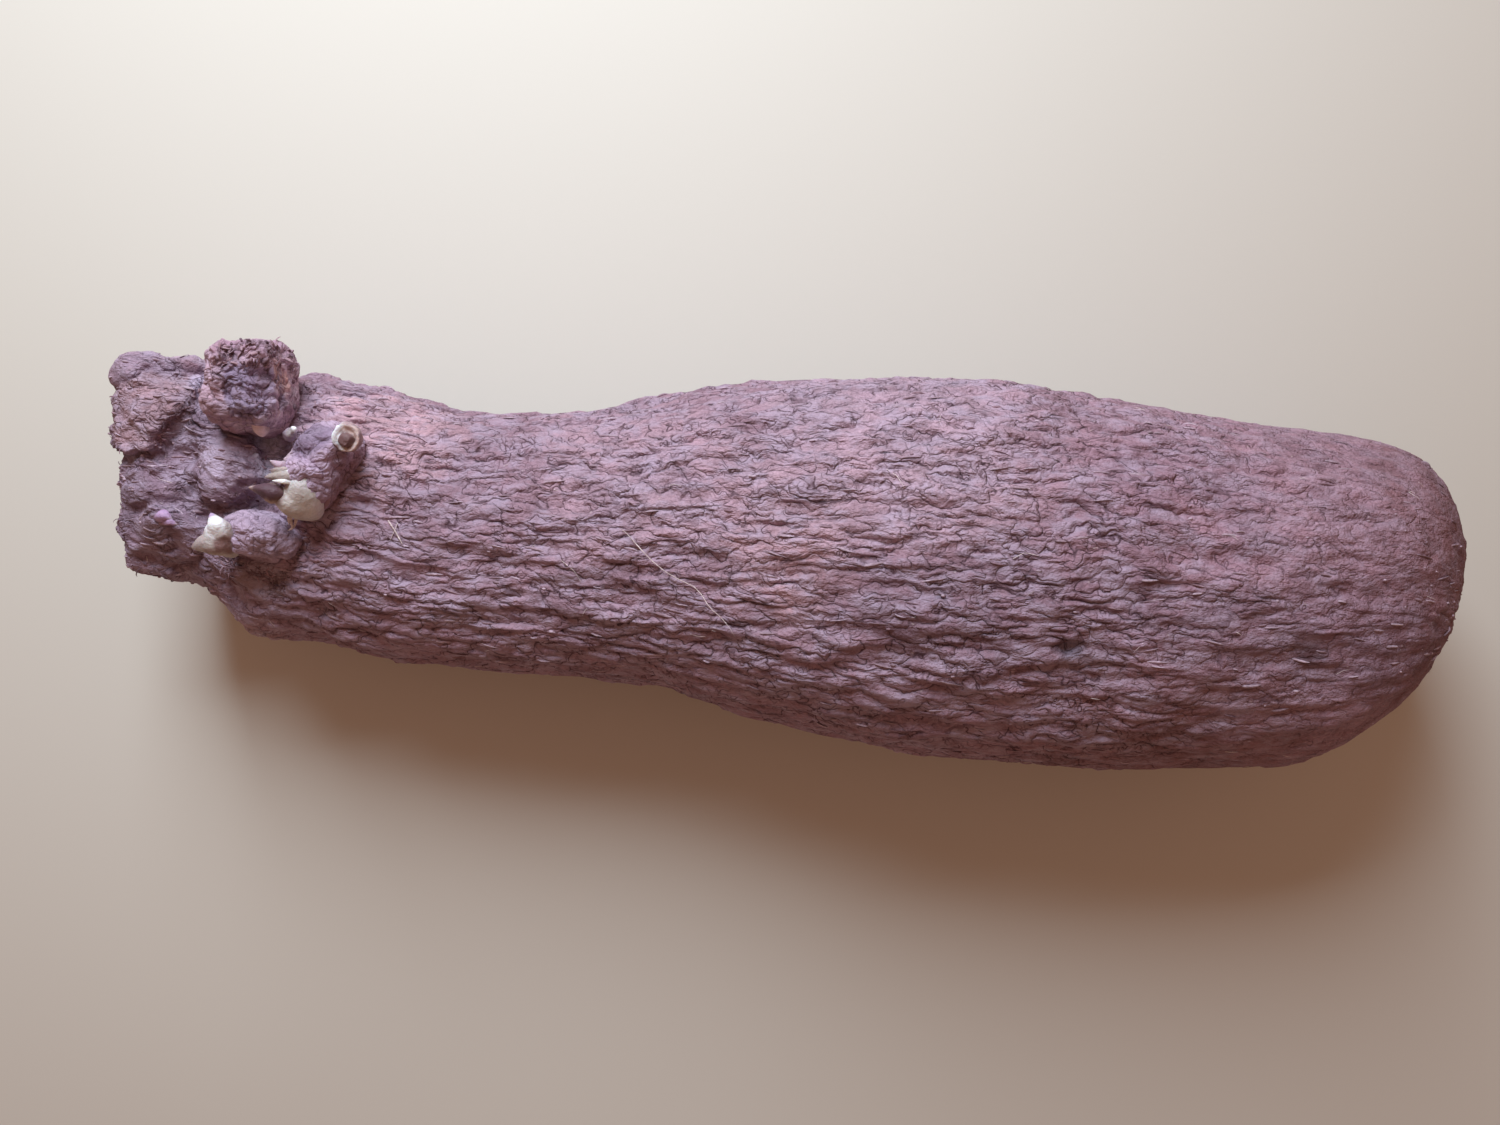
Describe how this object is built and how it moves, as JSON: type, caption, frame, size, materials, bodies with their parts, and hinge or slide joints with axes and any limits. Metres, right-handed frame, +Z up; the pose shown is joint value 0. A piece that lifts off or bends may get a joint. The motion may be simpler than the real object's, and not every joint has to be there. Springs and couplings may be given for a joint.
{
  "type": "yam",
  "caption": "Long yam tuber with wrinkled bark, a blunt woody crown carrying knobs, pale shoots and buds, and a rounded tip; lies on a flattened belly",
  "frame": {"origin": "under the middle of the whole yam, on the surface it lies on", "axes": "+X runs from the woody crown to the rounded tip, +Y is the side away from the viewer who has the crown on the left, +Z is up"},
  "size_m": [0.4068, 0.1146, 0.1034],
  "materials": {
    "tuber_skin": "dry wrinkled bark, dusty mauve over red-brown",
    "stump_wood": "rough torn violet-brown cork",
    "knob_wood": "smooth purple-grey bark",
    "shoot_flesh": "smooth waxy cream with brown and purple tips",
    "bud_cream": "smooth waxy cream",
    "bud_pink": "smooth pink-lilac scale",
    "bud_peach": "smooth peach scale"
  },
  "bodies": {
    "root": {"tuber": "tuber_skin", "crown_knob_stump": "stump_wood", "sprout_knob_forked": "knob_wood", "sprout_knob_low": "knob_wood", "shoot_forked": "shoot_flesh", "shoot_low": "shoot_flesh", "bud_round": "bud_cream", "bud_white": "bud_cream", "bud_pink": "bud_pink", "bud_peach": "bud_peach"}
  },
  "joints": []
}
